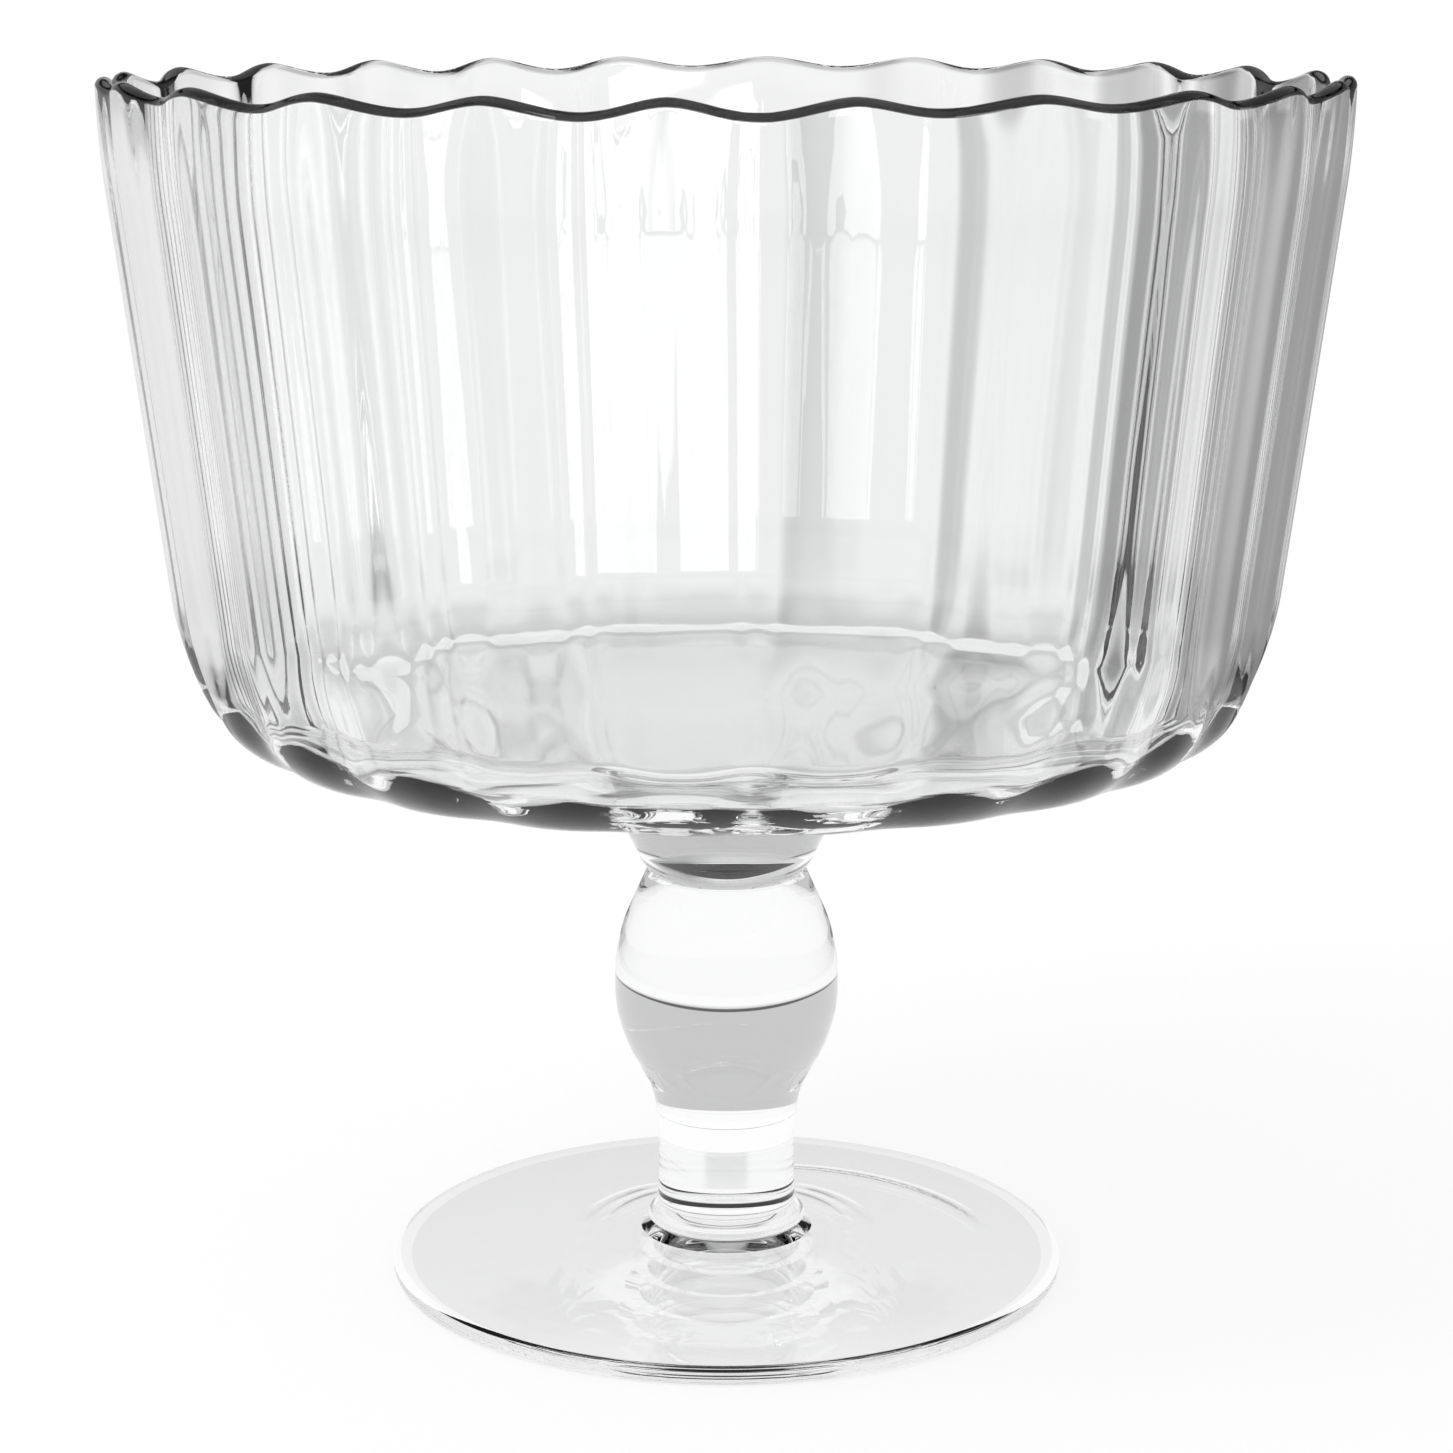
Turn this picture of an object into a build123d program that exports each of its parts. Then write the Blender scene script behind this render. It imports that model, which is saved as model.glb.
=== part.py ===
from build123d import *
from math import cos, pi, radians, sin, tan
import os

# Driving dimensions of a footed trifle bowl in hand-made glass, in millimetres and degrees.
# The origin is on the table, under the middle of the foot, and +Z is up.

# Bowl
LOBES = 24                   # flutes round the wall
FIRST_CREST = 10.0           # angle of one flute's crest from +X
RIM_RADIUS = 105.2           # outside, on the crests
BOWL_HEIGHT = 120.5          # flat under the floor to the crests of the rim
LIP_HEIGHT = 10.0            # upright band under the rim, which the wall curves into
HEEL_RADIUS = 92.6           # outside, where wall and underside would meet in a sharp corner
HEEL_IN = 6.4                # rounding of that corner along the underside
HEEL_UP = 13.9               # rounding of that corner up the wall
UNDERSIDE_SLOPE = 8.6        # rise of the underside towards the heel
WALL = 3.6                   # at the heel
RIM_THICKNESS = 3.0
RIM_BEVEL = 0.9              # easing of the rim's two edges
FLOOR = 5.0
INNER_HEEL_RUN = 11.0        # rounding of the inside corner along wall and floor
LOBE_DEPTH = 2.2             # crest to groove, outside
INNER_LOBE_DEPTH = 1.2       # crest to groove, inside
HEEL_LOBE_DEPTH = 1.4        # crest to groove where the heel meets the underside
SCALLOP_DEPTH = 2.0          # rim crest to rim dip

# Stem
COLLAR_HEIGHT = 18.7
COLLAR_TOP_RADIUS = 27.0     # where it spreads under the bowl
COLLAR_LEAN = 20.0           # lean of the collar's side from upright, at the neck
PAD_MARGIN = 3.0             # flat under the floor, beyond the collar
NECK_RADIUS = 14.4           # the narrow place between collar and knop
KNOP_RADIUS = 19.9
KNOP_BASE_RADIUS = 12.7
KNOP_TAIL = 3.3              # height of the curve at the knop's lower end
KNOP_LOWER_CONE = 13.3       # height from the tail to the belly
KNOP_BELLY = 15.0            # height of the belly
KNOP_UPPER_CONE = 12.2       # height from the belly to the neck
SHANK_LENGTH = 17.0
SHANK_RADIUS = 12.4          # at both ends
SHANK_WAIST_RADIUS = 12.1
RING_HEIGHT = 5.0
RING_BASE_RADIUS = 15.4
RING_GROOVE_RADIUS = 13.8
RING_BEAD_RADIUS = 14.1
RING_FLARE = 1.0             # height of the flare under the bead

# Foot
FOOT_RADIUS = 60.2
FOOT_EDGE = 3.2
FOOT_EDGE_ROUND = 1.0        # how far the rounded edge bulges out
FOOT_HEIGHT = 6.5
STANDING_WIDTH = 10.2        # flat ring under the foot that the bowl stands on
FOOT_HOLLOW_DEPTH = 1.2      # hollow inside that ring

# Shaping of the flutes and corners
GROOVE_SHARPNESS = 3.2       # above 2 the grooves are narrower than the crests
DIP_SHARPNESS = 1.7          # below 2 the dips of the rim are broader than its crests
CUT_PLACES = (-1.0, -0.6, 0.0, 0.6, 1.0)  # across one flute, from groove to groove
HEEL_SPLIT = 0.42            # part of the heel that its tight lower arc takes
BEVEL_SHARE = 0.4            # most of the rim's thickness that one eased edge takes
BELLY_SHARE = 0.48           # part of the knop's shortest height that a rounded belly edge takes

# Heights where one piece of glass meets the next
foot_top = FOOT_HEIGHT
ring_top = foot_top + RING_HEIGHT
shank_top = ring_top + SHANK_LENGTH
knop_top = shank_top + KNOP_TAIL + KNOP_LOWER_CONE + KNOP_BELLY + KNOP_UPPER_CONE
bowl_base = knop_top + COLLAR_HEIGHT
rim_top = bowl_base + BOWL_HEIGHT
floor_top = bowl_base + FLOOR

half_lobe = 180.0 / LOBES
pad_radius = COLLAR_TOP_RADIUS + PAD_MARGIN


def round_corner(before, corner, after, run):
    """Arc tangent to both sides of a corner, from one run's length before it to one after it."""
    start = corner + (before - corner).normalized() * run
    end = corner + (after - corner).normalized() * run
    return TangentArc(start, end, tangent=corner - before)


def inner_corner(before, corner, after, wall_before, wall_after):
    """Inside corner of two walls of these thicknesses that meet at an outside corner."""
    run_in = (corner - before).normalized()
    run_out = (after - corner).normalized()
    turn = run_in.X * run_out.Y - run_in.Y * run_out.X
    return corner + (run_out * wall_before - run_in * wall_after) * (1 / turn)


def lobe_share(place, sharpness):
    """How far the glass has moved from its crest, from 0 on the crest to 1 in the groove."""
    return sin(abs(place) * pi / 2) ** sharpness


# Corners of the wall's upright cut on a crest, as radius and height
pad_edge = Vector(pad_radius, bowl_base)
heel = Vector(HEEL_RADIUS, bowl_base + (HEEL_RADIUS - pad_radius) * tan(radians(UNDERSIDE_SLOPE)))
rim_outer = Vector(RIM_RADIUS, rim_top - RIM_BEVEL)
lip_low = rim_outer - Vector(0, LIP_HEIGHT)
heel_low = heel + (pad_edge - heel).normalized() * HEEL_IN
heel_high = heel + (lip_low - heel).normalized() * HEEL_UP
rim_inner = rim_outer - Vector(RIM_THICKNESS, 0)
inner_heel = inner_corner(pad_edge, heel, lip_low, FLOOR, WALL)


def wall_cut(place):
    """Upright cut through the wall and floor, at a place across a flute from -1 to 1."""
    angle = place * half_lobe
    sink = Vector(lobe_share(place, GROOVE_SHARPNESS), 0)
    dip = Vector(0, SCALLOP_DEPTH * lobe_share(place, DIP_SHARPNESS))
    pad = Vector(pad_radius / cos(radians(angle)), bowl_base)
    floor = Vector(pad.X, floor_top)
    low = heel_low - sink * HEEL_LOBE_DEPTH
    high = heel_high - sink * LOBE_DEPTH
    lip = lip_low - sink * LOBE_DEPTH
    outer = rim_outer - sink * LOBE_DEPTH - dip
    inner = rim_inner - sink * INNER_LOBE_DEPTH - dip
    inside = inner_heel - sink * INNER_LOBE_DEPTH
    heel_run = (high - low).length
    bevel = min(RIM_BEVEL, BEVEL_SHARE * (outer.X - inner.X))
    with BuildSketch(Plane.XZ.rotated((0, 0, angle))) as cut:
        with BuildLine():
            tight = round_corner(pad, low, high, heel_run * HEEL_SPLIT)
            easy = round_corner(low, high, lip, heel_run * (1 - HEEL_SPLIT))
            flare = round_corner(high, lip, outer, (outer - lip).length)
            round_in = round_corner(inner, inside, floor, INNER_HEEL_RUN)
            Line(pad, tight @ 0)
            Line(easy @ 1, flare @ 0)
            Polyline(
                outer,
                outer + Vector(-bevel, RIM_BEVEL),
                inner + Vector(bevel, RIM_BEVEL),
                inner,
                round_in @ 0,
            )
            Polyline(round_in @ 1, floor, pad)
        make_face()
    return cut.sketch


# One flute of the bowl's wall, with its slice of heel and floor
with BuildPart() as lobe:
    loft(sections=[wall_cut(place) for place in CUT_PLACES])

# The bowl: flutes all round, closed in the middle by the flat floor over the stem
with BuildPart() as bowl:
    with PolarLocations(0, LOBES, start_angle=FIRST_CREST):
        add(lobe.part)
    with BuildSketch(Plane.XY.offset(bowl_base)):
        RegularPolygon(pad_radius, LOBES, major_radius=False, rotation=FIRST_CREST + half_lobe)
    extrude(amount=FLOOR)

# The collar: a short trumpet that spreads from the neck to the underside of the bowl
with BuildPart() as collar:
    with BuildSketch(Plane.XZ):
        with BuildLine():
            Polyline((0, bowl_base), (0, knop_top), (NECK_RADIUS, knop_top))
            TangentArc(
                (NECK_RADIUS, knop_top),
                (COLLAR_TOP_RADIUS, bowl_base),
                tangent=(sin(radians(COLLAR_LEAN)), cos(radians(COLLAR_LEAN))),
            )
            Line((COLLAR_TOP_RADIUS, bowl_base), (0, bowl_base))
        make_face()
    revolve(axis=Axis.Z)

# The knop: a barrel that draws in to the neck above and to the shank below
tail_top = Vector(KNOP_BASE_RADIUS, shank_top + KNOP_TAIL)
belly_low = Vector(KNOP_RADIUS, tail_top.Y + KNOP_LOWER_CONE)
belly_high = Vector(KNOP_RADIUS, belly_low.Y + KNOP_BELLY)
neck = Vector(NECK_RADIUS, knop_top)
base = Vector(KNOP_BASE_RADIUS, shank_top)
belly_run = BELLY_SHARE * min(KNOP_LOWER_CONE, KNOP_BELLY, KNOP_UPPER_CONE)
with BuildPart() as knop:
    with BuildSketch(Plane.XZ):
        with BuildLine():
            tail = round_corner(base, tail_top, belly_low, KNOP_TAIL)
            lower = round_corner(tail_top, belly_low, belly_high, belly_run)
            upper = round_corner(belly_low, belly_high, neck, belly_run)
            Line(tail @ 1, lower @ 0)
            Line(lower @ 1, upper @ 0)
            Polyline(upper @ 1, neck, (0, knop_top), (0, shank_top), base)
        make_face()
    revolve(axis=Axis.Z)

# The shank: a plain drawn length of stem, slightly waisted
with BuildPart() as shank:
    with BuildSketch(Plane.XZ):
        with BuildLine():
            ThreePointArc(
                (SHANK_RADIUS, ring_top),
                (SHANK_WAIST_RADIUS, ring_top + SHANK_LENGTH / 2),
                (SHANK_RADIUS, shank_top),
            )
            Polyline((SHANK_RADIUS, shank_top), (0, shank_top), (0, ring_top), (SHANK_RADIUS, ring_top))
        make_face()
    revolve(axis=Axis.Z)

# The foot ring: a bead with a small flare, where the stem stands on the foot
groove_height = foot_top + RING_FLARE
bead_height = (groove_height + ring_top) / 2
with BuildPart() as foot_ring:
    with BuildSketch(Plane.XZ):
        with BuildLine():
            Line((RING_BASE_RADIUS, foot_top), (RING_GROOVE_RADIUS, groove_height))
            ThreePointArc(
                (RING_GROOVE_RADIUS, groove_height),
                (RING_BEAD_RADIUS, bead_height),
                (SHANK_RADIUS, ring_top),
            )
            Polyline((SHANK_RADIUS, ring_top), (0, ring_top), (0, foot_top), (RING_BASE_RADIUS, foot_top))
        make_face()
    revolve(axis=Axis.Z)

# The foot: a disc with a rounded edge, coned on top, hollow below inside the ring that it stands on
edge_low = (FOOT_RADIUS - FOOT_EDGE_ROUND, 0)
edge_high = (FOOT_RADIUS - FOOT_EDGE_ROUND, FOOT_EDGE)
hollow_edge = (FOOT_RADIUS - FOOT_EDGE_ROUND - STANDING_WIDTH, 0)
with BuildPart() as foot:
    with BuildSketch(Plane.XZ):
        with BuildLine():
            Line(hollow_edge, edge_low)
            ThreePointArc(edge_low, (FOOT_RADIUS, FOOT_EDGE / 2), edge_high)
            Polyline(edge_high, (RING_BASE_RADIUS, foot_top), (0, foot_top), (0, FOOT_HOLLOW_DEPTH))
            TangentArc((0, FOOT_HOLLOW_DEPTH), hollow_edge, tangent=(1, 0))
        make_face()
    revolve(axis=Axis.Z)

os.makedirs("parts", exist_ok=True)
pieces = {
    "bowl": bowl,
    "collar": collar,
    "knop": knop,
    "shank": shank,
    "foot_ring": foot_ring,
    "foot": foot,
}
for name, piece in pieces.items():
    piece.part.label = name
    export_step(piece.part, f"parts/{name}.step")
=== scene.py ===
"""Looks of a footed trifle bowl in clear hand-made glass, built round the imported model."""

import math

import bmesh
import bpy
from bpy.props import FloatProperty, FloatVectorProperty, IntProperty, PointerProperty
from mathutils import Matrix, Vector, noise


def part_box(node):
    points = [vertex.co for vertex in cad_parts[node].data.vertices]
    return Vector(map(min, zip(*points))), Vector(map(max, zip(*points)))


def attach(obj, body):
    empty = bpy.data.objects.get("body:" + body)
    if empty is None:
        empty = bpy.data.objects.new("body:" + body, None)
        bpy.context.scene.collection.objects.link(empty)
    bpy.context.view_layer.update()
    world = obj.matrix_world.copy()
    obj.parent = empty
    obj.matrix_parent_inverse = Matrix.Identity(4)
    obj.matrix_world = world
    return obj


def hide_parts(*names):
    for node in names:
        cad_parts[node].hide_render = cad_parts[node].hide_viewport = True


bl_info = {
    "name": "Footed Trifle Bowl",
    "version": (1, 0, 0),
    "blender": (4, 5, 0),
    "location": "View3D > Sidebar > Trifle Bowl",
    "description": "Fluted glass bowl on a knopped stem and a flat foot, with a plain studio round it",
    "category": "Add Mesh",
}

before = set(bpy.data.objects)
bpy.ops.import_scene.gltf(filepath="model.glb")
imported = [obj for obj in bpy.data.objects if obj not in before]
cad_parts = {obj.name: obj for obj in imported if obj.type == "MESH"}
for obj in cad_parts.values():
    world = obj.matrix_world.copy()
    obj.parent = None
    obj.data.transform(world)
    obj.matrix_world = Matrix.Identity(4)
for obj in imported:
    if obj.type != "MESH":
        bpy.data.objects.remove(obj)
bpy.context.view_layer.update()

MM = 0.001
BODY = "root"
TURN = 2 * math.pi
WHITE = (1.0, 1.0, 1.0, 1.0)
# painted shade: near-black tint of the light through the rim's marked edge, standing in for the dark line
# the rim shows
PAINTED_RIM_SHADE = (0.002, 0.002, 0.002, 1.0)
DRAWN_OUT = (1.0, 1.0, 0.12)  # streaks run up the wall
SEED_CELLS = 62.0             # per metre
SEED_REACH = 18.0 * MM        # over the bowl's underside
BUMP_DISTANCE = 0.002
SAME_POINT = 0.001 * MM
SAME_LEVEL = 0.01 * MM
SHARP_EDGE = math.radians(50)
SECTORS = 16                  # of a turned piece
SECTOR_STEPS = 8


def node_heights(node):
    """Lowest and highest point of a CAD node."""
    low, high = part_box(node)
    return low.z, high.z


FOOT_TOP = node_heights("foot")[1]
RING_TOP = node_heights("foot_ring")[1]
SHANK_TOP = node_heights("shank")[1]
KNOP_TOP = node_heights("knop")[1]
BOWL_BASE, RIM_TOP = node_heights("bowl")


# Properties


def length(name, description, millimetres):
    """A length property, given in millimetres."""
    return FloatProperty(name=name, description=description, default=millimetres * MM,
                         unit="LENGTH", precision=5)


def angle(name, description, degrees):
    """An angle property, given in degrees."""
    return FloatProperty(name=name, description=description, default=math.radians(degrees),
                         subtype="ANGLE")


def share(name, description, default):
    """A plain number between 0 and 1."""
    return FloatProperty(name=name, description=description, default=default, min=0.0, max=1.0,
                         subtype="FACTOR")


def colour(name, description, default):
    """A colour property."""
    return FloatVectorProperty(name=name, description=description, default=default, size=3, min=0, max=1,
                               subtype="COLOR")


class BowlSizes(bpy.types.PropertyGroup):
    """Sizes of the fluted bowl."""

    flutes: IntProperty(name="Flutes", description="Upright flutes round the wall", default=24, min=3)
    first_crest: angle("First crest", "Angle of one flute's crest from the X axis", 10.0)
    rim_radius: length("Rim radius", "Outside of the rim, on the crests", 105.2)
    rim_thickness: length("Rim thickness", "Thickness of the rounded rim", 3.0)
    lip_height: length("Lip height", "Upright band under the rim that the wall curves into", 10.0)
    heel_radius: length("Heel radius", "Where wall and underside would meet in a sharp corner", 92.6)
    heel_in: length("Heel in", "Rounding of the heel along the underside", 6.4)
    heel_up: length("Heel up", "Rounding of the heel up the wall", 13.9)
    heel_split: share("Heel split", "Part of the heel that its tight lower arc takes", 0.42)
    underside_slope: angle("Underside slope", "Rise of the underside towards the heel", 8.6)
    wall: length("Wall", "Thickness of the wall at the heel", 3.6)
    floor: length("Floor", "Thickness of the floor", 3.5)
    inner_heel_run: length("Inner heel", "Rounding of the inside corner along wall and floor", 9.0)
    pad_radius: length("Pad radius", "Flat under the floor, over the stem", 30.0)
    flute_depth: length("Flute depth", "Crest to groove, outside", 2.2)
    inner_flute_depth: length("Inner flute depth", "Crest to groove, inside", 1.2)
    heel_flute_depth: length("Heel flute depth", "Crest to groove where the heel meets the underside", 1.4)
    scallop_depth: length("Scallop depth", "Rim crest to rim dip", 2.0)
    scallop_reach: length("Scallop reach", "How far down the wall the scallops fade out", 24.0)
    groove_sharpness: FloatProperty(name="Groove sharpness", description="Above 2 the grooves are narrow",
                                    default=2.6, min=1.0)
    dip_sharpness: FloatProperty(name="Dip sharpness", description="Below 2 the rim's dips are broad",
                                 default=1.7, min=1.0)
    sway: angle("Sway", "How far a crest strays from its even place", 0.9)
    floor_ripple: length("Floor ripple", "Height of the ripples on the inside of the floor", 0.32)
    wall_ripple: length("Wall ripple", "Depth of the hand-made unevenness of the wall", 0.06)


class StemSizes(bpy.types.PropertyGroup):
    """Sizes of the collar, knop, shank and foot ring."""

    collar_radius: length("Collar radius", "Where the collar spreads under the bowl", 27.0)
    collar_lean: angle("Collar lean", "Lean of the collar's side from upright, at the neck", 20.0)
    collar_foot_radius: length("Collar foot radius", "Where the collar rounds in onto the knop", 12.9)
    neck_radius: length("Neck radius", "Top of the knop under the collar", 14.4)
    knop_radius: length("Knop radius", "Belly of the knop", 19.9)
    knop_base_radius: length("Knop base radius", "Lower end of the knop", 12.7)
    knop_tail: length("Knop tail", "Height of the curve at the knop's lower end", 3.3)
    knop_lower_cone: length("Knop lower cone", "Height from the tail to the belly", 13.3)
    knop_belly: length("Knop belly", "Height of the belly", 15.0)
    shank_radius: length("Shank radius", "Both ends of the shank", 12.4)
    shank_waist_radius: length("Shank waist radius", "Middle of the shank", 12.1)
    ring_base_radius: length("Ring base radius", "Flare of the ring on the foot", 15.4)
    ring_groove_radius: length("Ring groove radius", "Groove between the flare and the bead", 12.9)
    ring_bead_radius: length("Ring bead radius", "Bead of the ring", 14.1)
    ring_flare: length("Ring flare", "Height of the flare under the bead", 1.0)


class FootSizes(bpy.types.PropertyGroup):
    """Sizes of the foot."""

    radius: length("Radius", "Outside of the foot", 60.2)
    edge: length("Edge", "Thickness at the edge", 3.2)
    edge_round: length("Edge round", "How far the rounded edge bulges out", 1.0)
    standing_width: length("Standing width", "Flat ring under the foot that the bowl stands on", 1.8)
    hollow_depth: length("Hollow depth", "Hollow inside that ring", 1.2)
    mark_height: length("Mark height", "Height of the arcs that the tools left on top", 0.28)
    mark_width: length("Mark width", "Half the width of those arcs", 1.6)
    inner_mark: length("Inner mark", "Radius of the inner arc, behind both sides of the stem", 22.5)
    outer_mark: length("Outer mark", "Radius of the arc round the inner one", 26.0)
    fold_start: length("Fold start", "Radius where the long fold starts, behind the stem", 36.0)
    fold_end: length("Fold end", "Radius where the long fold ends, at the right", 48.0)


class GlassFinish(bpy.types.PropertyGroup):
    """Colours and texture of the glass."""

    bowl_tint: colour("Bowl tint", "Colour of light that has passed the bowl's glass", (0.97, 0.975, 0.975))
    stem_tint: colour("Stem tint", "Colour of light that has passed the stem's glass", (0.985, 0.99, 0.99))
    ior: FloatProperty(name="Refraction", description="Index of refraction of the glass",
                       default=1.52, min=1.0)
    striae: share("Striae", "Strength of the fine streaks in the glass", 0.03)


class StageSettings(bpy.types.PropertyGroup):
    """Camera, floor and studio."""

    camera_distance: length("Camera distance", "From the bowl's axis, level", 607.0)
    camera_height: length("Camera height", "Above the table", 230.8)
    camera_pitch: angle("Camera pitch", "How far the camera looks down", 12.29)
    camera_lens: FloatProperty(name="Camera lens", description="Focal length on a 36 mm sensor",
                               default=87.6, unit="CAMERA")
    floor_colour: colour("Floor colour", "Plain pale floor", (0.9, 0.9, 0.9))
    floor_radius: length("Floor radius", "Where the floor has faded out", 300.0)


# Node trees


class Value:
    """A socket of a node tree. Arithmetic on it adds Math nodes."""

    def __init__(self, sheet, socket):
        self.sheet = sheet
        self.socket = socket

    def math(self, operation, *values):
        inputs = dict(enumerate(values))
        return self.sheet.node("ShaderNodeMath", {"operation": operation}, inputs)

    def __add__(self, other):
        return self.math("ADD", self, other)

    __radd__ = __add__

    def __sub__(self, other):
        return self.math("SUBTRACT", self, other)

    def __rsub__(self, other):
        return self.math("SUBTRACT", other, self)

    def __mul__(self, other):
        return self.math("MULTIPLY", self, other)

    __rmul__ = __mul__

    def most(self, other):
        return self.math("MAXIMUM", self, other)

    def step(self, low, high):
        """0 below low, 1 above high, smooth between."""
        settings = {"interpolation_type": "SMOOTHSTEP"}
        inputs = {"Value": self, "From Min": low, "From Max": high, "To Min": 0.0, "To Max": 1.0}
        return self.sheet.node("ShaderNodeMapRange", settings, inputs, "Result")

    def band(self, low, high, soft):
        """1 between low and high, falling to 0 over a soft edge outside."""
        return self.step(low - soft, low) * (1 - self.step(high, high + soft))


class Sheet:
    """The node tree of a material or of the world."""

    def __init__(self, owner):
        owner.use_nodes = True
        self.tree = owner.node_tree
        self.tree.nodes.clear()

    def node(self, kind, settings=None, inputs=None, output=0):
        """Adds a node, sets its settings, then its sockets by name or number, and returns an output."""
        made = self.tree.nodes.new(kind)
        for name, value in (settings or {}).items():
            setattr(made, name, value)
        for name, value in (inputs or {}).items():
            if isinstance(value, Value):
                self.tree.links.new(value.socket, made.inputs[name])
            else:
                made.inputs[name].default_value = value
        if len(made.outputs) == 0:
            return made
        return Value(self, made.outputs[output])


def seeds(sheet, place):
    """Small round seeds, each in the middle of a cell and only in some cells, low in the bowl."""
    cells = {"Vector": place, "Scale": SEED_CELLS, "Randomness": 0.9}
    middle = sheet.node("ShaderNodeTexVoronoi", {}, cells, "Distance")
    chance = sheet.node("ShaderNodeSeparateColor", {},
                        {"Color": sheet.node("ShaderNodeTexVoronoi", {}, cells, "Color")}, "Red")
    height = sheet.node("ShaderNodeSeparateXYZ", {}, {"Vector": place}, "Z")
    dot = 1 - middle.step(0.05, 0.11)
    return dot * chance.step(0.6, 0.62) * height.band(BOWL_BASE, BOWL_BASE + SEED_REACH, 2 * MM)


def paint_rim_shade(sheet, shade):
    """Painted shade: darkens the light that enters through the marked edge of the rim, and a quarter as
    much the light that leaves through it.
    """
    marked = sheet.node("ShaderNodeAttribute", {"attribute_name": "rim"}, {}, "Fac").step(0.2, 0.6)
    leaving = sheet.node("ShaderNodeNewGeometry", output="Backfacing")
    inputs = {"Factor": marked * (1 - 0.75 * leaving), 6: shade, 7: PAINTED_RIM_SHADE}
    return sheet.node("ShaderNodeMix", {"data_type": "RGBA"}, inputs, 2)


def wave_glass(name, tint, finish, painted_rim):
    """Clear glass with faint streaks, small ripples and a few fine seeds, and with painted shade on the
    rim's edge when painted_rim is set.
    """
    material = bpy.data.materials.new(name)
    sheet = Sheet(material)
    place = sheet.node("ShaderNodeTexCoord", output="Object")
    drawn = sheet.node("ShaderNodeMapping", {"vector_type": "POINT"},
                       {"Vector": place, "Scale": DRAWN_OUT})
    streaks = sheet.node("ShaderNodeTexNoise", {}, {"Vector": drawn, "Scale": 70.0, "Detail": 2.0})
    ripples = sheet.node("ShaderNodeTexNoise", {}, {"Vector": place, "Scale": 38.0, "Detail": 1.0})
    height = streaks * 0.4 + ripples * 0.6 + seeds(sheet, place) * 0.9
    pale = [level ** 0.5 for level in tint]
    shade = sheet.node("ShaderNodeMix", {"data_type": "RGBA"},
                       {"Factor": streaks, 6: (*tint, 1.0), 7: (*pale, 1.0)}, 2)
    if painted_rim:
        shade = paint_rim_shade(sheet, shade)
    bump = sheet.node("ShaderNodeBump", {},
                      {"Strength": finish.striae, "Distance": BUMP_DISTANCE, "Height": height}, "Normal")
    glass = sheet.node("ShaderNodeBsdfPrincipled", {}, {
        "Base Color": shade,
        "Roughness": 0.0,
        "IOR": finish.ior,
        "Transmission Weight": 1.0,
        "Normal": bump,
    })
    sheet.node("ShaderNodeOutputMaterial", {}, {"Surface": glass})
    return material


def hot_join():
    """Where two gathers of glass are one: light goes straight on."""
    material = bpy.data.materials.get("hot_join")
    if material is None:
        material = bpy.data.materials.new("hot_join")
        sheet = Sheet(material)
        clear = sheet.node("ShaderNodeBsdfTransparent")
        sheet.node("ShaderNodeOutputMaterial", {}, {"Surface": clear})
    return material


def stem_glass(settings):
    """The glass that all pieces of the stem and the foot share."""
    material = bpy.data.materials.get("solid_stem_glass")
    if material is None:
        material = wave_glass("solid_stem_glass", settings.glass.stem_tint, settings.glass, painted_rim=False)
    return material


# Meshes


def wire(corners, longest, segments):
    """Wire along an upright cut. Each corner has its radius, height and the run of its rounding."""
    bm = bmesh.new()
    verts = [bm.verts.new((radius, 0.0, height)) for radius, height, run in corners]
    for first, second in zip(verts, verts[1:]):
        bm.edges.new((first, second))
    for vert, (radius, height, run) in zip(verts, corners):
        if run > 0:
            bmesh.ops.bevel(bm, geom=[vert], offset=run, offset_type="OFFSET", segments=segments,
                            profile=0.5, affect="VERTICES", material=-1)
    bmesh.ops.remove_doubles(bm, verts=bm.verts[:], dist=SAME_POINT)
    for edge in bm.edges[:]:
        cuts = int(edge.calc_length() / longest)
        if cuts:
            bmesh.ops.subdivide_edges(bm, edges=[edge], cuts=cuts)
    return bm


def along(bm, start):
    """The wire's vertices in order, from the one nearest to start."""
    vert = min(bm.verts, key=lambda v: (v.co - start).length)
    edge = None
    ordered = [vert]
    while True:
        ways = [e for e in vert.link_edges if e is not edge]
        if not ways:
            return ordered
        edge = ways[0]
        vert = edge.other_vert(vert)
        ordered.append(vert)


def turn(bm, sectors, steps):
    """Spins the wire through one sector and repeats that all round the axis, with no open seam."""
    axis = {"cent": (0, 0, 0), "axis": (0, 0, 1), "dvec": (0, 0, 0)}
    sector = TURN / sectors
    bmesh.ops.spin(bm, geom=bm.verts[:] + bm.edges[:], angle=sector, steps=steps,
                   use_merge=False, use_normal_flip=False, use_duplicate=False, **axis)
    bmesh.ops.spin(bm, geom=bm.verts[:] + bm.edges[:] + bm.faces[:], angle=TURN - sector,
                   steps=sectors - 1, use_merge=False, use_normal_flip=False, use_duplicate=True, **axis)
    bmesh.ops.remove_doubles(bm, verts=bm.verts[:], dist=SAME_POINT)


def weld(bm, height, radius):
    """Gives the faces of a hot join the second material."""
    for face in bm.faces:
        centre = face.calc_center_median()
        if abs(centre.z - height) < SAME_LEVEL and centre.xy.length < radius:
            face.material_index = 1


def piece(bm, node, glass):
    """Makes the mesh an object that stands for a CAD node."""
    bmesh.ops.recalc_face_normals(bm, faces=bm.faces[:])
    for face in bm.faces:
        face.smooth = True
    for edge in bm.edges:
        edge.smooth = edge.calc_face_angle(0.0) < SHARP_EDGE
    mesh = bpy.data.meshes.new(node + "_glass")
    bm.to_mesh(mesh)
    bm.free()
    made = bpy.data.objects.new(node + "_glass", mesh)
    bpy.context.scene.collection.objects.link(made)
    mesh.materials.append(glass)
    mesh.materials.append(hot_join())
    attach(made, BODY)
    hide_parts(node)
    return made


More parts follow.
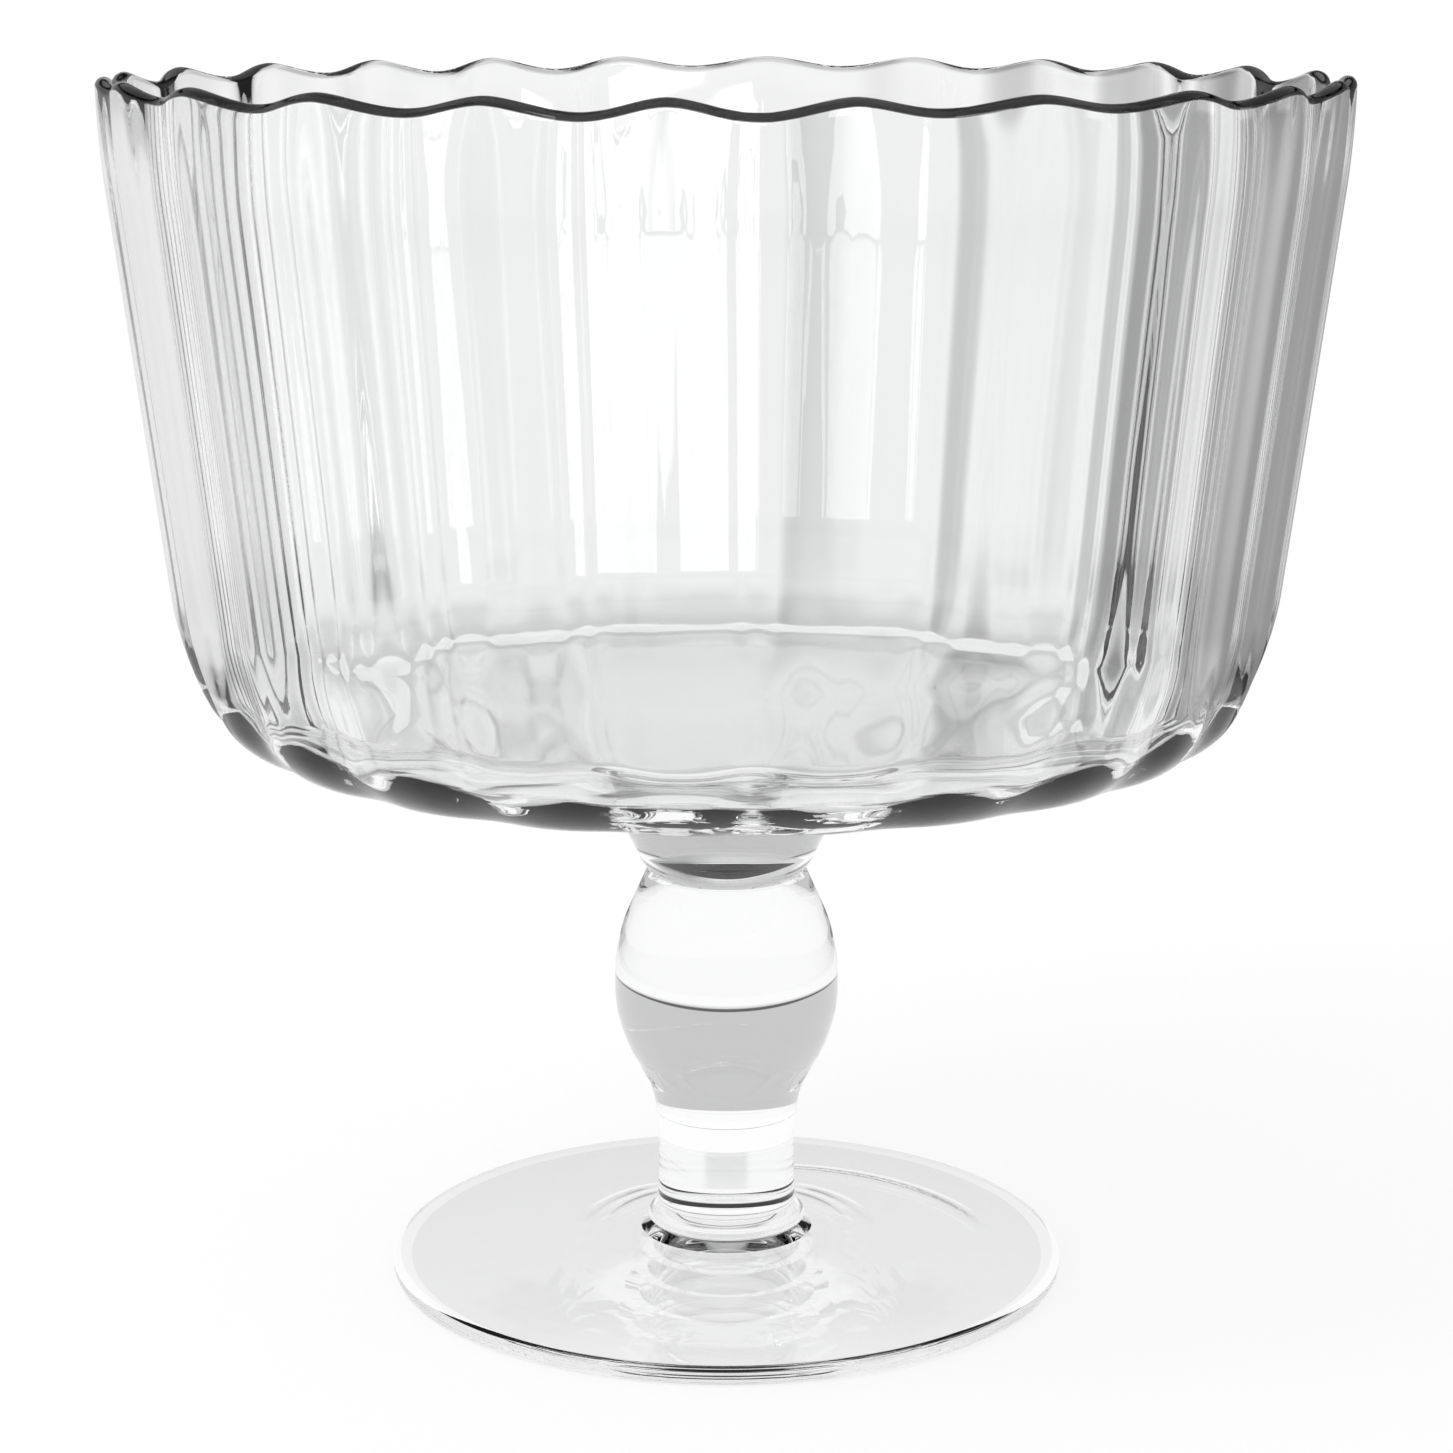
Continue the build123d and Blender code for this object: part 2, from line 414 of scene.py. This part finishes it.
def smooth_step(value, low, high):
    """0 below low, 1 above high, smooth between."""
    t = min(1.0, max(0.0, (value - low) / (high - low)))
    return t * t * (3 - 2 * t)


def inner_corner(before, corner, after, wall_before, wall_after):
    """Inside corner of two walls of these thicknesses that meet at an outside corner."""
    run_in = (corner - before).normalized()
    run_out = (after - corner).normalized()
    turning = run_in.x * run_out.y - run_in.y * run_out.x
    return corner + (run_out * wall_before - run_in * wall_after) / turning


# Operators


class TRIFLE_OT_bowl(bpy.types.Operator):
    """Blow the fluted bowl with its scalloped rim, rounded heel and rippled floor"""

    bl_idname = "trifle.bowl"
    bl_label = "Bowl"

    segments = 12
    longest = 5.0 * MM
    steps_per_flute = 26
    inner_flute_start = -1.0 * MM  # over the inside corner
    inner_flute_full = 6.0 * MM
    painted_shade_start = 1.7 * MM      # painted rim shade starts this far under the top of the rim
    painted_shade_full = 1.0 * MM
    painted_light_start = 84.0 * MM    # painted light: to the left, where light falls on the rim, the painted rim shade thins out
    painted_light_full = 99.0 * MM
    painted_rim_light = 0.8
    wall_grain = 55                # noise waves per metre
    wall_grain_up = 14
    inside_shift = 40
    floor_grain = 48
    floor_shift = 3.0

    def execute(self, context):
        settings = context.scene.trifle
        sizes = settings.bowl
        bm = self.cut(sizes, settings.stem)
        self.mark(bm, sizes)
        turn(bm, sizes.flutes, self.steps_per_flute)
        self.flute(bm, sizes)
        weld(bm, BOWL_BASE, settings.stem.collar_radius)
        # the bowl's glass gets painted shade on the rim's edge
        glass = wave_glass("fluted_bowl_glass", settings.glass.bowl_tint, settings.glass, painted_rim=True)
        piece(bm, "bowl", glass)
        return {"FINISHED"}

    def cut(self, sizes, stem):
        """Upright cut through the bowl on a crest, from under the floor round to its inside."""
        rise = (sizes.heel_radius - sizes.pad_radius) * math.tan(sizes.underside_slope)
        pad = Vector((sizes.pad_radius, BOWL_BASE))
        heel = Vector((sizes.heel_radius, BOWL_BASE + rise))
        rim = Vector((sizes.rim_radius, RIM_TOP))
        lip = rim - Vector((0, sizes.lip_height))
        low = heel + (pad - heel).normalized() * sizes.heel_in
        high = heel + (lip - heel).normalized() * sizes.heel_up
        inside = inner_corner(pad, heel, lip, sizes.floor, sizes.wall)
        heel_run = (high - low).length
        half_rim = sizes.rim_thickness / 2
        self.pad, self.low, self.high, self.inside = pad, low, high, inside
        corners = [
            (0, BOWL_BASE, 0),
            (stem.collar_radius, BOWL_BASE, 0),
            (*pad, 0),
            (*low, heel_run * sizes.heel_split),
            (*high, heel_run * (1 - sizes.heel_split)),
            (*lip, sizes.lip_height - half_rim),
            (*rim, half_rim),
            (rim.x - sizes.rim_thickness, RIM_TOP, half_rim),
            (*inside, sizes.inner_heel_run),
            (sizes.pad_radius, BOWL_BASE + sizes.floor, 0),
            (0, BOWL_BASE + sizes.floor, 0),
        ]
        return wire(corners, self.longest, self.segments)

    def mark(self, bm, sizes):
        """Notes on each point of the cut how deep its flute is, how far it is over to the inside, and how
        much painted shade the rim's edge gets.
        """
        depth = bm.verts.layers.float.new("flute_depth")
        inward = bm.verts.layers.float.new("inward")
        # layer that marks where the rim gets painted shade
        rim = bm.verts.layers.float.new("rim")
        inside = False
        for vert in along(bm, Vector((0, 0, BOWL_BASE))):
            radius, height = vert.co.x, vert.co.z
            from_pad = (radius - self.pad.x) / (self.low.x - self.pad.x)
            up_heel = smooth_step(height, self.low.y, self.high.y)
            outer = sizes.heel_flute_depth * min(1.0, max(0.0, from_pad))
            outer += (sizes.flute_depth - sizes.heel_flute_depth) * up_heel
            over_corner = height - self.inside.y
            inner = smooth_step(over_corner, self.inner_flute_start, self.inner_flute_full)
            inner *= sizes.inner_flute_depth
            over = 1.0 if inside else 0.0
            if height > RIM_TOP - sizes.rim_thickness / 2:
                over = (sizes.rim_radius - radius) / sizes.rim_thickness
                inside = over > 0.5
            vert[depth] = outer + (inner - outer) * over
            vert[inward] = over
            # Painted shade: marks the outer edge of the rim's top for the dark rim tint.
            tip = smooth_step(height, RIM_TOP - self.painted_shade_start, RIM_TOP - self.painted_shade_full)
            vert[rim] = tip * (1 - smooth_step(over, 0.25, 0.45))

    def flute(self, bm, sizes):
        """Sinks the grooves, dips the rim between the crests and leaves the glass a little uneven."""
        depth = bm.verts.layers.float["flute_depth"]
        inward = bm.verts.layers.float["inward"]
        rim = bm.verts.layers.float["rim"]
        pitch = TURN / sizes.flutes
        for vert in bm.verts:
            x, y, z = vert.co
            radius = math.hypot(x, y)
            if radius < sizes.pad_radius / 3:
                continue
            turned = math.atan2(y, x)
            strayed = turned + sizes.sway * self.stray(turned)
            count = (strayed - sizes.first_crest) / pitch
            across = math.sin(abs(count - round(count)) * math.pi)
            uneven = self.uneven(turned)
            dip = sizes.scallop_depth * smooth_step(z, RIM_TOP - sizes.scallop_reach, RIM_TOP)
            wall = smooth_step(z, self.low.y, self.high.y)
            upwards = z * self.wall_grain_up + self.inside_shift * vert[inward]
            grain = noise.noise(Vector((x * self.wall_grain, y * self.wall_grain, upwards)))
            ripple = sizes.wall_ripple * wall * grain
            sunk = radius - vert[depth] * uneven * across ** sizes.groove_sharpness + ripple
            lift = -dip * uneven * across ** sizes.dip_sharpness
            floor = vert[inward] * (1 - wall) * smooth_step(radius, 0, sizes.pad_radius)
            grain = noise.noise(Vector((x * self.floor_grain, y * self.floor_grain, self.floor_shift)))
            lift += sizes.floor_ripple * floor * grain
            vert.co = (sunk * math.cos(turned), sunk * math.sin(turned), z + lift)
            # Painted light: takes most of the painted rim shade off the rim's left side.
            vert[rim] *= 1 - self.painted_rim_light * smooth_step(-x, self.painted_light_start, self.painted_light_full)

    def stray(self, turned):
        """How far the crests stray from their even places at this angle, against the sway."""
        return math.sin(2 * turned + 0.7) + 0.7 * math.sin(5 * turned + 2.1)

    def uneven(self, turned):
        """How deep the flutes are at this angle, against their even depth."""
        return 1 + 0.12 * math.sin(3 * turned + 1.0) + 0.08 * math.sin(7 * turned)


class TRIFLE_OT_collar(bpy.types.Operator):
    """Shape the trumpet collar between the bowl and the neck"""

    bl_idname = "trifle.collar"
    bl_label = "Collar"

    segments = 14
    longest = 1.6 * MM
    round_off = 2.4 * MM   # height of the rounded lower end
    bend_share = 0.45      # of the collar's height, where the side bends outwards
    bend_run_share = 0.28

    def execute(self, context):
        settings = context.scene.trifle
        stem = settings.stem
        rise = BOWL_BASE - KNOP_TOP
        bend_rise = rise * self.bend_share
        corners = [
            (0, KNOP_TOP, 0),
            (stem.collar_foot_radius, KNOP_TOP, 0),
            (*self.side(stem, self.round_off), self.round_off * 0.8),
            (*self.side(stem, bend_rise), rise * self.bend_run_share),
            (stem.collar_radius, BOWL_BASE, 0),
            (0, BOWL_BASE, 0),
        ]
        bm = wire(corners, self.longest, self.segments)
        turn(bm, SECTORS, SECTOR_STEPS)
        weld(bm, KNOP_TOP, stem.collar_foot_radius)
        weld(bm, BOWL_BASE, stem.collar_radius)
        piece(bm, "collar", stem_glass(settings))
        return {"FINISHED"}

    def side(self, stem, height):
        """Radius and height of a point on the leaning side, this high over the knop."""
        return stem.neck_radius + height * math.tan(stem.collar_lean), KNOP_TOP + height


class TRIFLE_OT_knop(bpy.types.Operator):
    """Shape the barrel knop that draws in to the neck above and to the shank below"""

    bl_idname = "trifle.knop"
    bl_label = "Knop"

    segments = 14
    longest = 1.4 * MM
    belly_share = 0.48  # of the shortest height beside it that a rounding takes
    tail_share = 0.98

    def execute(self, context):
        settings = context.scene.trifle
        stem = settings.stem
        tail = SHANK_TOP + stem.knop_tail
        belly_low = tail + stem.knop_lower_cone
        belly_high = belly_low + stem.knop_belly
        belly_run = self.belly_share * min(stem.knop_lower_cone, stem.knop_belly, KNOP_TOP - belly_high)
        corners = [
            (0, SHANK_TOP, 0),
            (stem.shank_radius, SHANK_TOP, 0),
            (stem.knop_base_radius, SHANK_TOP, 0),
            (stem.knop_base_radius, tail, stem.knop_tail * self.tail_share),
            (stem.knop_radius, belly_low, belly_run),
            (stem.knop_radius, belly_high, belly_run),
            (stem.neck_radius, KNOP_TOP, 0),
            (stem.collar_foot_radius, KNOP_TOP, 0),
            (0, KNOP_TOP, 0),
        ]
        bm = wire(corners, self.longest, self.segments)
        turn(bm, SECTORS, SECTOR_STEPS)
        weld(bm, SHANK_TOP, stem.shank_radius)
        weld(bm, KNOP_TOP, stem.collar_foot_radius)
        piece(bm, "knop", stem_glass(settings))
        return {"FINISHED"}


class TRIFLE_OT_shank(bpy.types.Operator):
    """Draw the plain length of stem under the knop"""

    bl_idname = "trifle.shank"
    bl_label = "Shank"

    segments = 16
    longest = 1.4 * MM
    waist_share = 0.49  # of its height that the waist takes each way

    def execute(self, context):
        settings = context.scene.trifle
        stem = settings.stem
        middle = (RING_TOP + SHANK_TOP) / 2
        waist = 2 * stem.shank_waist_radius - stem.shank_radius
        corners = [
            (0, RING_TOP, 0),
            (stem.shank_radius, RING_TOP, 0),
            (waist, middle, (SHANK_TOP - RING_TOP) * self.waist_share),
            (stem.shank_radius, SHANK_TOP, 0),
            (0, SHANK_TOP, 0),
        ]
        bm = wire(corners, self.longest, self.segments)
        turn(bm, SECTORS, SECTOR_STEPS)
        weld(bm, RING_TOP, stem.shank_radius)
        weld(bm, SHANK_TOP, stem.shank_radius)
        piece(bm, "shank", stem_glass(settings))
        return {"FINISHED"}


class TRIFLE_OT_foot_ring(bpy.types.Operator):
    """Shape the bead where the stem stands on the foot"""

    bl_idname = "trifle.foot_ring"
    bl_label = "Foot Ring"

    segments = 8
    longest = 1.2 * MM
    bead_over = 0.5 * MM      # corner beyond the bead that its rounding takes off
    bead_run = 1.2 * MM
    shoulder_drop = 1.4 * MM  # under the top of the ring
    shoulder_out = 0.9 * MM   # beyond the shank
    shoulder_run = 0.8 * MM

    def execute(self, context):
        settings = context.scene.trifle
        stem = settings.stem
        groove = FOOT_TOP + stem.ring_flare
        bead = stem.ring_bead_radius + self.bead_over
        shoulder = RING_TOP - self.shoulder_drop
        corners = [
            (0, FOOT_TOP, 0),
            (stem.ring_base_radius, FOOT_TOP, 0),
            (stem.ring_groove_radius, groove, 0),
            (bead, (groove + shoulder) / 2, self.bead_run),
            (stem.shank_radius + self.shoulder_out, shoulder, self.shoulder_run),
            (stem.shank_radius, RING_TOP, 0),
            (0, RING_TOP, 0),
        ]
        bm = wire(corners, self.longest, self.segments)
        turn(bm, SECTORS, SECTOR_STEPS)
        weld(bm, FOOT_TOP, stem.ring_base_radius)
        weld(bm, RING_TOP, stem.shank_radius)
        piece(bm, "foot_ring", stem_glass(settings))
        return {"FINISHED"}


class TRIFLE_OT_foot(bpy.types.Operator):
    """Press the round foot, coned on top, with a rounded edge and a shallow hollow below"""

    bl_idname = "trifle.foot"
    bl_label = "Foot"

    segments = 12
    longest = 0.8 * MM
    steps = 12
    hollow_run_share = 0.48
    standing_run = 0.8 * MM
    edge_run_share = 0.9
    arc_rise = (25, 40)      # degrees from straight behind, where the arcs rise
    arc_fall = (70, 85)
    fold_from = 12           # degrees to the right of straight behind
    fold_turn = 75
    fold_rise = (0.0, 0.1)   # share of the fold, where it rises
    fold_fall = (0.85, 1.0)

    def execute(self, context):
        settings = context.scene.trifle
        foot = settings.foot
        base_radius = settings.stem.ring_base_radius
        edge_radius = foot.radius - foot.edge_round
        hollow_edge = edge_radius - foot.standing_width
        edge_run = foot.edge / 2 * self.edge_run_share
        corners = [
            (0, foot.hollow_depth, 0),
            (hollow_edge / 2, foot.hollow_depth, hollow_edge * self.hollow_run_share),
            (hollow_edge, 0, self.standing_run),
            (foot.radius, 0, edge_run),
            (foot.radius, foot.edge, edge_run),
            (base_radius, FOOT_TOP, 0),
            (0, FOOT_TOP, 0),
        ]
        bm = wire(corners, self.longest, self.segments)
        turn(bm, SECTORS, self.steps)
        self.mark(bm, foot)
        weld(bm, FOOT_TOP, base_radius)
        piece(bm, "foot", stem_glass(settings))
        return {"FINISHED"}

    def mark(self, bm, foot):
        """Raises the arcs that the tools left on top, behind both sides of the stem and at the right."""
        for vert in bm.verts:
            x, y, z = vert.co
            if z < foot.edge:
                continue
            radius = math.hypot(x, y)
            away = math.degrees(math.atan2(x, y))
            beside = smooth_step(abs(away), *self.arc_rise) * (1 - smooth_step(abs(away), *self.arc_fall))
            arcs = self.ridge(radius - foot.inner_mark, foot) + self.ridge(radius - foot.outer_mark, foot)
            gone = min(1.0, max(0.0, (away - self.fold_from) / self.fold_turn))
            fold_radius = foot.fold_start + (foot.fold_end - foot.fold_start) * gone
            fold = self.ridge(radius - fold_radius, foot)
            fold *= smooth_step(gone, *self.fold_rise) * (1 - smooth_step(gone, *self.fold_fall))
            vert.co.z = z + foot.mark_height * (beside * arcs + fold)

    def ridge(self, distance, foot):
        """1 on the line of an arc, 0 away from it."""
        return 1 - smooth_step(abs(distance), 0, foot.mark_width)


class TRIFLE_OT_stage(bpy.types.Operator):
    """Set up the camera, the pale floor and the soft studio"""

    bl_idname = "trifle.stage"
    bl_label = "Stage"

    bounces = 15
    sensor = 36.0
    floor_height = 0.03 * MM  # the standing ring sinks in by this and so touches all round
    floor_seen = 0.83         # white that the camera sees, over the shadow
    fade_share = 0.93
    room_radius = 3.0
    room_gap = 0.15
    lamp_size = (0.5, 0.7)
    lamp_power = 6.0
    lamp_place = Vector((-0.75, -0.35, 1.1))
    lamp_aim = Vector((0, 0, 0.1))

    def execute(self, context):
        settings = context.scene.trifle.stage
        self.camera(context.scene, settings)
        self.floor(context.scene, settings)
        self.studio(context.scene)
        rooms = (
            ("bowl_room", ("bowl",), self.bowl_light),
            ("banded_room", ("collar", "shank", "foot_ring"), self.banded_light),
            ("knop_room", ("knop",), self.knop_light),
            ("foot_room", ("foot",), self.foot_light),
        )
        for count, (name, nodes, light) in enumerate(rooms):
            self.room(context.scene, name, self.room_radius + count * self.room_gap, nodes, light)
        self.lamp(context.scene)
        context.scene.view_settings.view_transform = "Standard"
        context.scene.cycles.max_bounces = self.bounces
        context.scene.cycles.transmission_bounces = self.bounces
        context.scene.cycles.glossy_bounces = self.bounces
        return {"FINISHED"}

    def camera(self, scene, settings):
        data = bpy.data.cameras.new("camera")
        data.lens = settings.camera_lens
        data.sensor_width = self.sensor
        data.clip_start = 0.01
        camera = bpy.data.objects.new("camera", data)
        camera.location = (0, -settings.camera_distance, settings.camera_height)
        camera.rotation_euler = (math.pi / 2 - settings.camera_pitch, 0, 0)
        scene.collection.objects.link(camera)
        scene.camera = camera

    def floor(self, scene, settings):
        bm = bmesh.new()
        bmesh.ops.create_circle(bm, cap_ends=True, segments=96, radius=settings.floor_radius)
        mesh = bpy.data.meshes.new("floor")
        bm.to_mesh(mesh)
        bm.free()
        floor = bpy.data.objects.new("floor", mesh)
        floor.location.z = self.floor_height
        scene.collection.objects.link(floor)
        material = bpy.data.materials.new("pale_floor")
        mesh.materials.append(material)
        sheet = Sheet(material)
        matt = sheet.node("ShaderNodeBsdfDiffuse", {}, {"Color": (*settings.floor_colour, 1.0)})
        white = sheet.node("ShaderNodeEmission", {}, {"Color": WHITE, "Strength": 1.0})
        camera = sheet.node("ShaderNodeLightPath", output="Is Camera Ray")
        glossy = sheet.node("ShaderNodeLightPath", output="Is Glossy Ray")
        through = sheet.node("ShaderNodeLightPath", output="Is Transmission Ray")
        seen = (camera.most(glossy) * self.floor_seen).most(through)
        lit = sheet.node("ShaderNodeMixShader", {}, {0: seen, 1: matt, 2: white})
        place = sheet.node("ShaderNodeTexCoord", output="Object")
        from_axis = sheet.node("ShaderNodeVectorMath", {"operation": "LENGTH"}, {0: place}, "Value")
        fade = from_axis.step(settings.floor_radius * self.fade_share, settings.floor_radius)
        clear = sheet.node("ShaderNodeBsdfTransparent")
        faded = sheet.node("ShaderNodeMixShader", {}, {0: fade, 1: lit, 2: clear})
        sheet.node("ShaderNodeOutputMaterial", {}, {"Surface": faded})

    def ways(self, sheet, vector):
        """Side and height of a direction in degrees. 0 is straight behind the bowl, right is positive."""
        split = {"Vector": vector}
        x = sheet.node("ShaderNodeSeparateXYZ", {}, split, "X")
        y = sheet.node("ShaderNodeSeparateXYZ", {}, split, "Y")
        z = sheet.node("ShaderNodeSeparateXYZ", {}, split, "Z")
        degree = 180 / math.pi
        return x.math("ARCTAN2", x, y) * degree, z.math("ARCSINE", z) * degree

    def studio(self, scene):
        """Plain white light all round. Glass shows the rooms instead."""
        world = bpy.data.worlds.new("studio")
        scene.world = world
        sheet = Sheet(world)
        camera = sheet.node("ShaderNodeLightPath", output="Is Camera Ray")
        glossy = sheet.node("ShaderNodeLightPath", output="Is Glossy Ray")
        through = sheet.node("ShaderNodeLightPath", output="Is Transmission Ray")
        strength = 1 - glossy.most(through) * (1 - camera)
        light = sheet.node("ShaderNodeBackground", {}, {"Color": WHITE, "Strength": strength})
        sheet.node("ShaderNodeOutputWorld", {}, {"Surface": light})

    def room(self, scene, name, radius, nodes, light):
        """A far dome that only the glass of these pieces shows."""
        bm = bmesh.new()
        bmesh.ops.create_uvsphere(bm, u_segments=48, v_segments=24, radius=radius)
        mesh = bpy.data.meshes.new(name)
        bm.to_mesh(mesh)
        bm.free()
        dome = bpy.data.objects.new(name, mesh)
        scene.collection.objects.link(dome)
        dome.visible_camera = False
        dome.visible_diffuse = False
        dome.visible_shadow = False
        shown = bpy.data.collections.new(name + "_shown_in")
        for node in nodes:
            shown.objects.link(bpy.data.objects[node + "_glass"])
        dome.light_linking.receiver_collection = shown
        material = bpy.data.materials.new(name)
        material.cycles.emission_sampling = "NONE"
        mesh.materials.append(material)
        sheet = Sheet(material)
        place = sheet.node("ShaderNodeTexCoord", output="Object")
        way = sheet.node("ShaderNodeVectorMath", {"operation": "NORMALIZE"}, {0: place}, "Vector")
        side, height = self.ways(sheet, way)
        level = light(side, height)
        grey = sheet.node("ShaderNodeCombineColor", {}, {"Red": level, "Green": level, "Blue": level})
        glow = sheet.node("ShaderNodeEmission", {}, {"Color": grey, "Strength": 1.0})
        clear = sheet.node("ShaderNodeBsdfTransparent")
        both = sheet.node("ShaderNodeAddShader", {}, {0: glow, 1: clear})
        sheet.node("ShaderNodeOutputMaterial", {}, {"Surface": both})

    def bowl_light(self, side, height):
        """Light wall that darkens to the right, dim ceiling, bright strip, window behind the camera."""
        low_wall = 0.25 * (1 - height.step(-18.0, -7.0))
        high_wall = 0.38 * height.step(-2.0, 8.0)
        right = 0.36 * side.step(4.0, 11.0) + 0.32 * side.step(12.0, 20.0)
        right = right * (1 - side.step(50.0, 85.0))
        left = 0.12 * side.band(-60.0, -22.0, 14.0)
        top_of_wall = 1 - 0.96 * height.step(20.0, 26.0)
        wall = (0.95 - low_wall - high_wall) * (1 - right - left) * top_of_wall
        ceiling = 0.5 * height.step(27.0, 31.0)
        behind = side.math("WRAP", side - 166.0, -180.0, 180.0)
        window = 4.0 * behind.band(-16.0, 16.0, 1.0) * height.band(2.0, 17.0, 0.5)
        strip = 2.0 * side.band(74.0, 90.0, 5.0) * height.band(1.0, 9.0, 1.0)
        return wall + ceiling + window + strip

    def banded_light(self, side, height):
        """Grey wall up to a dark band."""
        return 0.57 - 0.55 * height.step(4.0, 9.0)

    def knop_light(self, side, height):
        """Grey wall with a dark line where it meets the floor, and a dark ceiling."""
        line = 0.5 * height.band(-8.4, -8.1, 0.2)
        ceiling = 0.55 * height.step(34.0, 40.0)
        return 0.57 - line - ceiling

    def foot_light(self, side, height):
        """Light wall with a dim middle, under a dark ceiling."""
        middle = 0.5 * side.band(-10.0, 10.0, 6.0) * height.band(10.0, 28.0, 4.0)
        ceiling = 0.65 * height.step(30.0, 38.0)
        return 0.85 - middle - ceiling

    def lamp(self, scene):
        data = bpy.data.lights.new("softbox", "AREA")
        data.shape = "RECTANGLE"
        data.size, data.size_y = self.lamp_size
        data.energy = self.lamp_power
        softbox = bpy.data.objects.new("softbox", data)
        turned = (self.lamp_aim - self.lamp_place).to_track_quat("-Z", "Y").to_matrix().to_4x4()
        softbox.matrix_world = Matrix.Translation(self.lamp_place) @ turned
        softbox.visible_camera = False
        softbox.visible_glossy = False
        softbox.visible_transmission = False
        scene.collection.objects.link(softbox)


# Panel and registration


class TrifleSettings(bpy.types.PropertyGroup):
    """Everything about the bowl and its stage that can be changed."""

    bowl: PointerProperty(type=BowlSizes, name="Bowl", description="Sizes of the bowl")
    stem: PointerProperty(type=StemSizes, name="Stem", description="Sizes of the stem")
    foot: PointerProperty(type=FootSizes, name="Foot", description="Sizes of the foot")
    glass: PointerProperty(type=GlassFinish, name="Glass", description="Finish of the glass")
    stage: PointerProperty(type=StageSettings, name="Stage", description="Camera, floor and studio")


OPERATORS = (
    TRIFLE_OT_bowl,
    TRIFLE_OT_collar,
    TRIFLE_OT_knop,
    TRIFLE_OT_shank,
    TRIFLE_OT_foot_ring,
    TRIFLE_OT_foot,
    TRIFLE_OT_stage,
)
GROUPS = ("bowl", "stem", "foot", "glass", "stage")


class TRIFLE_PT_panel(bpy.types.Panel):
    """Sizes, colours and the steps that make the bowl"""

    bl_idname = "TRIFLE_PT_panel"
    bl_label = "Trifle Bowl"
    bl_space_type = "VIEW_3D"
    bl_region_type = "UI"
    bl_category = "Trifle Bowl"

    def draw(self, context):
        settings = context.scene.trifle
        for group in GROUPS:
            values = getattr(settings, group)
            box = self.layout.box()
            box.label(text=group.title())
            for name in values.__annotations__:
                box.prop(values, name)
        for operator in OPERATORS:
            self.layout.operator(operator.bl_idname)


SETTINGS = (BowlSizes, StemSizes, FootSizes, GlassFinish, StageSettings, TrifleSettings)
CLASSES = (*SETTINGS, *OPERATORS, TRIFLE_PT_panel)


def register():
    for cls in CLASSES:
        bpy.utils.register_class(cls)
    bpy.types.Scene.trifle = PointerProperty(type=TrifleSettings)


def unregister():
    del bpy.types.Scene.trifle
    for cls in reversed(CLASSES):
        bpy.utils.unregister_class(cls)


def main():
    """Makes every piece and the stage."""
    register()
    bpy.ops.trifle.bowl()
    bpy.ops.trifle.collar()
    bpy.ops.trifle.knop()
    bpy.ops.trifle.shank()
    bpy.ops.trifle.foot_ring()
    bpy.ops.trifle.foot()
    bpy.ops.trifle.stage()


if __name__ == "__main__":
    main()
